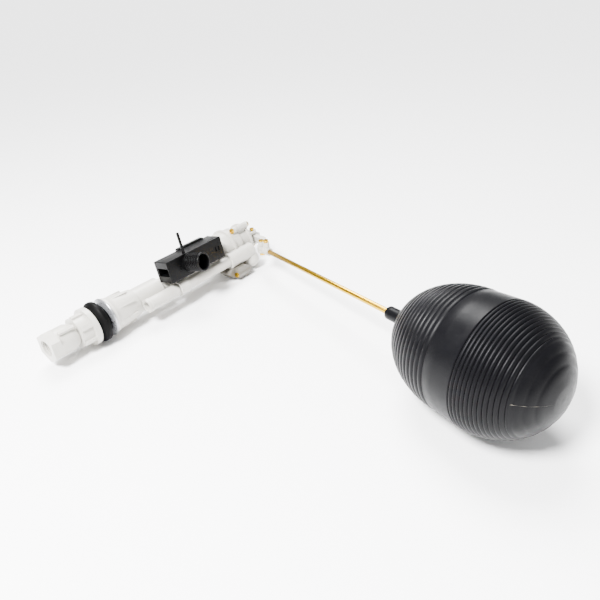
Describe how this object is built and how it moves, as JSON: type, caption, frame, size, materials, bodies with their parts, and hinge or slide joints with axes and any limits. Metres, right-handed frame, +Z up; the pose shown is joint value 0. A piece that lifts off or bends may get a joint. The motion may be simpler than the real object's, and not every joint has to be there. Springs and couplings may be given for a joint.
{
  "type": "float valve",
  "caption": "Float valve with a white plastic riser, side discharge tube, black refill box, brass float rod and a large ribbed black float.",
  "frame": {"origin": "centre of the threaded inlet's mouth, on the riser's axis", "axes": "+X along the riser from the inlet to the valve head, +Z up from the bench it lies on, the float arm reaching towards -Y"},
  "size_m": [0.3256, 0.5002, 0.1221],
  "materials": {
    "white_plastic": "satin moulded white plastic",
    "black_plastic": "fine satin moulded black plastic",
    "grey_plastic": "smoky grey moulded plastic",
    "black_rubber": "matt black rubber",
    "zinc": "zinc-plated pressed steel",
    "brass": "drawn and turned brass",
    "float_plastic": "blow-moulded charcoal plastic, satin"
  },
  "bodies": {
    "valve": {"inlet_fitting": "white_plastic", "lock_nut": "white_plastic", "shank_and_sleeve": "white_plastic", "riser_tube": "white_plastic", "hush_tube": "white_plastic", "hush_sleeve": "white_plastic", "riser_clip": "white_plastic", "valve_body": "white_plastic", "bonnet": "white_plastic", "outlet_elbow": "white_plastic", "refill_box": "black_plastic", "box_cover": "black_plastic", "refill_nozzle": "black_plastic", "splash_hood": "grey_plastic", "cone_washer": "black_rubber", "inlet_gasket": "black_rubber", "riser_seal": "black_rubber", "bonnet_gasket": "black_rubber", "stem_seal": "black_rubber", "metal_washer": "zinc", "seat_nozzle": "brass", "bonnet_screws": "brass", "bonnet_nuts": "brass", "pivot_pin": "brass", "hood_screw": "brass"},
    "lever": {"float_lever": "white_plastic", "knuckle_bolt": "brass"},
    "float_arm": {"rod_holder": "white_plastic", "clamp_nut": "brass", "float_rod": "brass", "float_insert": "brass", "float_shell": "float_plastic"},
    "plunger": {"plunger": "white_plastic", "seat_washer": "black_rubber"},
    "thumb_screw": {"thumb_screw": "brass"},
    "metering_pin": {"metering_pin": "black_plastic"}
  },
  "joints": [
    {"name": "arm_swing", "type": "hinge", "parent": "valve", "child": "lever", "pos_m": [0.316, -0.01036, 0.00927], "axis": [0, 0.0715, 0.9974], "range_deg": [-12, 26]},
    {"name": "plunger_slide", "type": "slide", "parent": "valve", "child": "plunger", "axis": [1, 0, 0], "range_m": [-0.0052, 0.0025]},
    {"name": "arm_angle_set", "type": "hinge", "parent": "lever", "child": "float_arm", "pos_m": [0.29, -0.05126, 0.0122], "axis": [0, 0.0715, 0.9974], "range_deg": [-20, 20]},
    {"name": "thumb_screw_turn", "type": "hinge", "parent": "float_arm", "child": "thumb_screw", "pos_m": [0.28633, -0.06281, 0.02546], "axis": [0, 0.0715, 0.9974], "continuous": true},
    {"name": "metering_pin_slide", "type": "slide", "parent": "valve", "child": "metering_pin", "axis": [0, 0.2096, 0.9778], "range_m": [-0.006, 0]}
  ],
  "couplings": [
    {"joint": "plunger_slide", "follows": "arm_swing", "m_per_rad": -0.011}
  ]
}
